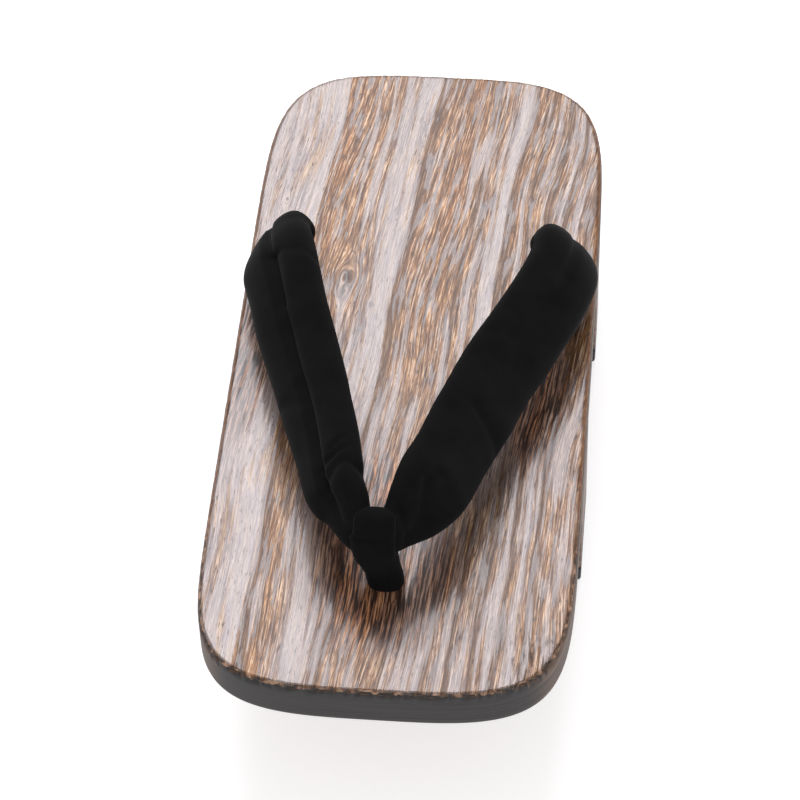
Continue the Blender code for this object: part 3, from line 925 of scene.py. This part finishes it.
def pad_rubber():
    material, tree, shader, place = open_material("pad_rubber")
    smears = speckle(tree, place, RUBBER_SMEARS, 3.0)
    tree.links.new(colours(tree, smears, RUBBER), shader.inputs["Base Color"])
    shader.inputs["Roughness"].default_value = 0.72
    texture_bump(tree, shader, speckle(tree, place, RUBBER_GRIT), 0.35, 0.15 * MM)
    return material


def dress(node, material):
    """Give a piece of the frame a material of its own."""
    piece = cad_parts[node]
    piece.material_slots[0].link = "OBJECT"
    piece.material_slots[0].material = material
    print(node, "has", material.name)


tooth_material = tooth_wood()
rubber_material = pad_rubber()
for end in ("front", "rear"):
    dress(f"tooth_{end}", tooth_material)
    dress(f"rubber_{end}", rubber_material)

# %% [markdown]
# ## Velvet
#
# The strap is a tube of black velvet. Velvet drinks light where it is seen straight on and shows a pale
# bloom where it is seen along the pile, which is what the sheen layer does. The nap is a very fine bump.

# %% Velvet
VELVET = ((0.35, (0.0040, 0.0040, 0.0045)), (0.65, (0.0062, 0.0062, 0.0068)))
VELVET_PATCHES, VELVET_NAP = 110.0, 2600.0


def strap_velvet():
    material, tree, shader, place = open_material("strap_velvet")
    brushed = speckle(tree, place, VELVET_PATCHES, 3.0)
    pile = calc(tree, "MULTIPLY_ADD", brushed, 0.6, times(tree, speckle(tree, place, VELVET_NAP), 0.4))
    tree.links.new(colours(tree, brushed, VELVET), shader.inputs["Base Color"])
    shader.inputs["Roughness"].default_value = 0.95
    shader.inputs["Specular IOR Level"].default_value = 0.12
    shader.inputs["Sheen Weight"].default_value = 0.038
    shader.inputs["Sheen Roughness"].default_value = 0.35
    shader.inputs["Sheen Tint"].default_value = (0.85, 0.87, 0.9, 1.0)
    texture_bump(tree, shader, pile, 0.5, 0.25 * MM)
    return material


velvet = strap_velvet()
print("velvet ready")

# %% [markdown]
# ## Strap
#
# The side strap is one padded tube. It goes from its hole on the left, over the foot's left side, under
# the thong's loop, and back to the hole on the right. Cushions are often made by cloth simulation, but a
# flat tube keeps its form better when its sections are laid along a given course. Each side has its own
# table, because the left half is folded into two lobes and the right half lies flat and a little wider.
# In the tables, along counts from the thong to the rear holes, and out and height in parts of the hole's
# distance from the middle and of the strap's rise. Tilt is in degrees.

# %% Course of the strap
STRAP_WIDTH = 26.0 * MM
STRAP_THICKNESS = 12.8 * MM
STRAP_RISE = 24.2 * MM
STRAP_FRONT = TOE + 42.3 * MM
STRAP_SQUARENESS = 2.6
SLIT_DEPTH = 2.0 * MM
SLIT_WIDTH = 1.4 * MM
SLIT_SHIFT = 1.2 * MM
THONG_LEAN = -2.8 * MM
AROUND = 96
STEPS = 16
COURSE = {
    # along, out, height, tilt, width, thickness, slit
    "left": (
        (0.000, 0.000, 0.91, 72.0, 0.60, 0.66, 0.10),
        (0.016, 0.135, 0.93, 68.0, 0.54, 0.70, 0.15),
        (0.073, 0.242, 0.98, 62.0, 0.73, 0.84, 0.70),
        (0.127, 0.344, 0.99, 52.0, 0.84, 0.98, 1.00),
        (0.253, 0.460, 0.95, 45.0, 0.89, 0.98, 1.00),
        (0.375, 0.585, 0.90, 41.0, 0.95, 0.98, 1.00),
        (0.510, 0.729, 0.87, 40.0, 0.99, 0.98, 1.00),
        (0.640, 0.866, 0.86, 39.0, 1.02, 1.00, 1.00),
        (0.750, 0.972, 0.84, 39.0, 1.05, 1.00, 1.00),
        (0.845, 1.056, 0.76, 40.0, 1.06, 1.00, 1.00),
        (0.918, 1.090, 0.60, 47.0, 1.00, 0.96, 0.90),
        (0.975, 1.070, 0.45, 62.0, 0.85, 0.98, 0.60),
        (1.001, 1.020, 0.25, 80.0, 0.72, 0.94, 0.30),
    ),
    "right": (
        (0.000, 0.000, 0.91, 72.0, 0.60, 0.66, 0.05),
        (0.020, 0.135, 0.93, 68.0, 0.58, 0.68, 0.05),
        (0.070, 0.245, 0.96, 62.0, 0.87, 0.82, 0.10),
        (0.137, 0.353, 0.99, 52.0, 1.02, 0.98, 0.12),
        (0.248, 0.465, 0.95, 45.0, 0.99, 0.98, 0.10),
        (0.375, 0.585, 0.90, 41.0, 1.01, 0.98, 0.08),
        (0.510, 0.722, 0.87, 40.0, 1.02, 0.98, 0.08),
        (0.640, 0.890, 0.85, 39.0, 1.00, 1.00, 0.10),
        (0.750, 1.022, 0.84, 39.0, 0.99, 1.00, 0.25),
        (0.845, 1.110, 0.79, 40.0, 0.98, 1.00, 0.45),
        (0.920, 1.130, 0.67, 46.0, 0.96, 0.98, 0.40),
        (0.975, 1.090, 0.46, 60.0, 0.84, 0.98, 0.30),
        (1.001, 1.020, 0.25, 80.0, 0.72, 0.94, 0.20),
    ),
}


def smooth_rows(rows, steps):
    """Curve through the rows of a table, all its columns at once."""
    mirrored = [rows[1][0], -rows[1][1], *rows[1][2:]]
    beyond = [2.0 * end - before for end, before in zip(rows[-1], rows[-2])]
    course = [mirrored, *rows, beyond]
    smooth = []
    for four in zip(course, course[1:], course[2:], course[3:]):
        for step in range(steps):
            t = step / steps
            smooth.append([0.5 * (2.0 * b + (c - a) * t + (2.0 * a - 5.0 * b + 4.0 * c - d) * t ** 2
                                  + (3.0 * b - a - 3.0 * c + d) * t ** 3) for a, b, c, d in zip(*four)])
    smooth.append(list(rows[-1]))
    return smooth


print(len(COURSE["left"]), "rows in the course of each side")

# %% Sections of the strap
def tube_section(width, thickness, slit=0.0, squareness=STRAP_SQUARENESS):
    """Rounded flat tube as places across and through it, with a slit along its top."""
    places = []
    for i in range(AROUND):
        angle = math.tau * i / AROUND
        across = width / 2.0 * math.copysign(abs(math.cos(angle)) ** (2.0 / squareness), math.cos(angle))
        through = thickness / 2.0 * math.copysign(abs(math.sin(angle)) ** (2.0 / squareness), math.sin(angle))
        if through > 0.0:
            through -= slit * math.exp(-((across + SLIT_SHIFT) / SLIT_WIDTH) ** 2)
        places.append((across, through))
    return places


def level_ring(x, y, z, length, width, squareness=2.0):
    """A level section round an upright line."""
    return [Vector((x + through * width, y - across * length, z))
            for across, through in tube_section(1.0, 1.0, squareness=squareness)]


NECK_ROOM = 0.6 * MM
CLEARANCE = 0.3 * MM
KNOT_WIDTH = 15.0 * MM
KNOT_HEIGHT = 9.0 * MM
KNOT_RINGS = 12
KNOT_TURN = math.radians(84.0)
STRAP_FOOT_LENGTH, STRAP_FOOT_WIDTH = 17.5 * MM, 11.5 * MM


def end_rings(x, y, hole_length, hole_width):
    """The neck down through a hole and the knot below it."""
    length, width = hole_length - NECK_ROOM, hole_width - NECK_ROOM
    rings = [level_ring(x, y, DECK_TOP + CLEARANCE, length, width),
             level_ring(x, y, DECK_FOOT - CLEARANCE, length, width)]
    for i in range(KNOT_RINGS):
        angle = KNOT_TURN * i / (KNOT_RINGS - 1)
        size = KNOT_WIDTH * math.cos(angle)
        rings.append(level_ring(x, y, DECK_FOOT - CLEARANCE - KNOT_HEIGHT * math.sin(angle), size, size))
    return rings


def half_strap_rings(course):
    """Sections of one side of the strap, from the thong to the knot under its hole."""
    rows = smooth_rows(course, STEPS)
    points = [Vector((row[1] * STRAP_HOLE_OUT, STRAP_FRONT + row[0] * (STRAP_REAR - STRAP_FRONT),
                      DECK_TOP + row[2] * STRAP_RISE)) for row in rows]
    rings = []
    side = Vector((0.0, -1.0, 0.0))
    for i, (row, point) in enumerate(zip(rows, points)):
        tangent = (points[min(i + 1, len(points) - 1)] - points[max(i - 1, 0)]).normalized()
        if i == 0:
            tangent = Vector((1.0, 0.0, 0.0))
        plan = Vector((tangent.y, -tangent.x, 0.0))
        if plan.length > 0.5:
            side = plan.normalized()
        up = side.cross(tangent).normalized()
        tilt = math.radians(row[3])
        across = side * math.cos(tilt) - up * math.sin(tilt)
        through = side * math.sin(tilt) + up * math.cos(tilt)
        outline = tube_section(row[4] * STRAP_WIDTH, row[5] * STRAP_THICKNESS, row[6] * SLIT_DEPTH)
        rings.append([point + across * u + through * v for u, v in outline])
    foot = level_ring(STRAP_HOLE_OUT, STRAP_REAR, DECK_TOP + CLEARANCE, STRAP_FOOT_LENGTH, STRAP_FOOT_WIDTH,
                      STRAP_SQUARENESS)
    return [*rings, foot, *end_rings(STRAP_HOLE_OUT, STRAP_REAR, STRAP_HOLE_LENGTH, STRAP_HOLE_WIDTH)]


def skin_rings(name, rings, material):
    """Close a stack of rings into one piece."""
    count = len(rings[0])
    numbers = [list(range(k * count, (k + 1) * count)) for k in range(len(rings))]
    faces = [tuple(numbers[0]), tuple(numbers[-1])]
    for one, other in zip(numbers, numbers[1:]):
        faces += ring_faces(one, other)
    piece = show_mesh(name, [tuple(p) for ring in rings for p in ring], faces, material)
    form = bmesh.new()
    form.from_mesh(piece.data)
    bmesh.ops.recalc_face_normals(form, faces=form.faces)
    form.to_mesh(piece.data)
    form.free()
    return piece


def leaned(point):
    """The strap follows the thong's lean, less and less towards its rear holes."""
    share = min(max((STRAP_REAR - point.y) / (STRAP_REAR - STRAP_FRONT), 0.0), 1.0)
    return point + Vector((THONG_LEAN * share ** 2, 0.0, 0.0))


right = half_strap_rings(COURSE["right"])
left = [[Vector((-p.x, p.y, p.z)) for p in ring] for ring in half_strap_rings(COURSE["left"])[1:]]
rings = [[leaned(p) for p in ring] for ring in [*reversed(left), *right]]
strap = skin_rings("side_strap", rings, velvet)
print("side strap:", len(strap.data.polygons), "faces")

# %% [markdown]
# The cloth creases where the strap bends and where the loop pinches it. Each crease is drawn as a line
# over the shoe, seen from above, and the points near it sink by its depth. A wide line of negative depth
# makes a soft lump. A slow unevenness over all of it takes away the look of a machine made tube.

# %% Creases of the strap
CREASES = (
    # depth, half width, line seen from above, all in millimetres
    (0.75, 1.5, ((-18.8, -79.5), (-17.8, -75.8), (-15.8, -73.0), (-12.8, -71.9), (-9.6, -72.7), (-7.2, -75.0),
                (-5.4, -78.6), (-4.2, -84.0))),
    (-1.1, 4.0, ((-11.5, -79.0), (-8.0, -82.0))),
    (0.9, 1.0, ((-19.4, -70.9), (-16.0, -68.0), (-13.0, -66.0))),
    (0.7, 0.9, ((-18.2, -66.0), (-14.6, -62.4))),
    (0.35, 1.6, ((-46.8, 20.0), (-38.0, 18.0), (-30.2, 14.5))),
    (0.9, 1.4, ((-45.0, 19.0), (-42.2, 6.0), (-40.0, -3.0))),
    (1.3, 1.4, ((15.8, -72.0), (12.0, -76.5), (11.2, -85.0), (7.2, -92.0))),
    (0.8, 1.1, ((4.2, -87.0), (8.4, -92.0))),
    (-0.8, 5.0, ((16.0, -84.0), (20.0, -76.0))),
    (0.7, 1.0, ((50.0, 16.0), (47.0, 9.0), (44.2, 3.5))),
    (0.6, 1.8, ((24.0, -44.0), (29.4, -49.5), (33.0, -55.5))),
    (-0.6, 5.0, ((27.0, -40.0), (36.0, -46.0))),
    (0.5, 2.2, ((38.0, -20.0), (33.0, -27.0))),
    (0.5, 2.0, ((-36.0, -40.0), (-30.0, -44.0))),
)
CREASES_FADE = 6.0 * MM
UNEVEN = 0.45 * MM
UNEVEN_SIZE = 17.0 * MM
UNEVEN_FADE = 8.0 * MM


def from_line(x, y, line):
    """Shortest distance from points to a line of straight pieces."""
    nearest = np.full(x.shape, np.inf)
    for (ax, ay), (bx, by) in zip(line, line[1:]):
        dx, dy = bx - ax, by - ay
        share = np.clip(((x - ax) * dx + (y - ay) * dy) / (dx * dx + dy * dy), 0.0, 1.0)
        nearest = np.minimum(nearest, np.hypot(x - ax - share * dx, y - ay - share * dy))
    return nearest


def crease(piece):
    """Sink the points of the upper side near each crease, and make the whole piece a little uneven."""
    mesh = piece.data
    points = np.empty(3 * len(mesh.vertices))
    normals = np.empty_like(points)
    mesh.vertices.foreach_get("co", points)
    mesh.vertex_normals.foreach_get("vector", normals)
    points, normals = points.reshape(-1, 3), normals.reshape(-1, 3)
    x, y = points[:, 0] / MM, points[:, 1] / MM
    above = points[:, 2] - DECK_TOP
    upper = np.clip(normals[:, 2] * 2.0 + 0.5, 0.0, 1.0) * np.clip(above / CREASES_FADE, 0.0, 1.0)
    sink = np.zeros(len(points))
    for depth, half_width, line in CREASES:
        sink += depth * MM * np.exp(-(from_line(x, y, line) / half_width) ** 2) * upper
    swell = np.array([noise.noise(Vector(p) / UNEVEN_SIZE) for p in points]) * UNEVEN
    swell *= np.clip(above / UNEVEN_FADE, 0.0, 1.0)
    points += normals * (swell - sink)[:, None]
    mesh.vertices.foreach_set("co", points.ravel())
    mesh.update()


crease(strap)
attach(strap, "root")
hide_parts("upper_straps")
print(len(CREASES), "creases laid in the strap")

# %% [markdown]
# ## Thong
#
# The thong is a short padded loop. It comes up through its hole between the toes, wraps the middle of
# the strap and goes down again, so from outside it is a band over the strap and a stem below it. Both
# parts are laid out as simple tubes and then fused by a fine voxel remesh, which rounds the place where
# they meet as cloth would.

# %% Thong
THONG_WIDTH = 10.6 * MM
THONG_THICKNESS = 9.2 * MM
THONG_BAND = 12.6 * MM
THONG_WRAP = 1.0 * MM
THONG_FLARE = 0.8 * MM
THONG_SPREAD = 3.4 * MM
THONG_SPREAD_SHIFT = -1.2 * MM
THONG_SPREAD_BACK = 1.3 * MM
THONG_STEM = (
    # share of the height, share of the flare, share of the spread
    (0.0, 1.0, 0.0), (0.10, 0.8, 0.0), (0.26, 0.2, 0.12), (0.42, 0.0, 0.45),
    (0.56, 0.0, 0.85), (0.75, 0.0, 0.95), (1.0, 0.0, 0.8),
)
BAND_RINGS = 13
FUSE_CELL = 0.45 * MM
SOFTEN_ROUNDS = 24


def thong_stem():
    """The stem flares where it meets the deck and spreads where it meets the strap."""
    rings = list(reversed(end_rings(0.0, THONG_HOLE, THONG_HOLE_LENGTH, THONG_HOLE_WIDTH)))
    for share, flare, spread in THONG_STEM:
        place = (share * THONG_LEAN + spread * THONG_SPREAD_SHIFT,
                 THONG_HOLE + share * (STRAP_FRONT - THONG_HOLE) - spread * THONG_SPREAD_BACK,
                 DECK_TOP + CLEARANCE + share * (STRAP_RISE - CLEARANCE))
        rings.append(level_ring(*place, THONG_THICKNESS + flare * THONG_FLARE,
                                THONG_WIDTH + flare * THONG_FLARE + spread * THONG_SPREAD, STRAP_SQUARENESS))
    return skin_rings("thong", rings, velvet)


def thong_band():
    """The loop round the middle of the strap, a little larger than the strap is there."""
    first = COURSE["left"][0]
    centre = Vector((THONG_LEAN, STRAP_FRONT, DECK_TOP + first[2] * STRAP_RISE))
    lean = math.radians(first[3])
    across = Vector((0.0, -math.cos(lean), -math.sin(lean)))
    through = Vector((0.0, -math.sin(lean), math.cos(lean)))
    rings = []
    for i in range(BAND_RINGS):
        share = -1.0 + 2.0 * i / (BAND_RINGS - 1)
        grown = 2.0 * THONG_WRAP * (1.0 - 1.1 * abs(share) ** 3)
        middle = centre + Vector((share * THONG_BAND / 2.0, 0.0, 0.0))
        outline = tube_section(first[4] * STRAP_WIDTH + grown, first[5] * STRAP_THICKNESS + grown)
        rings.append([middle + across * u + through * v for u, v in outline])
    return skin_rings("thong_band", rings, velvet)


thong = thong_stem()
band = thong_band()
join = thong.modifiers.new("join", "BOOLEAN")
join.operation = "UNION"
join.object = band
remesh = thong.modifiers.new("fuse", "REMESH")
remesh.mode = "VOXEL"
remesh.voxel_size = FUSE_CELL
remesh.use_smooth_shade = True
soften = thong.modifiers.new("soften", "SMOOTH")
soften.factor = 0.5
soften.iterations = SOFTEN_ROUNDS
as_shown(thong)
bpy.data.objects.remove(band)
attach(thong, "root")
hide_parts("upper_straps")
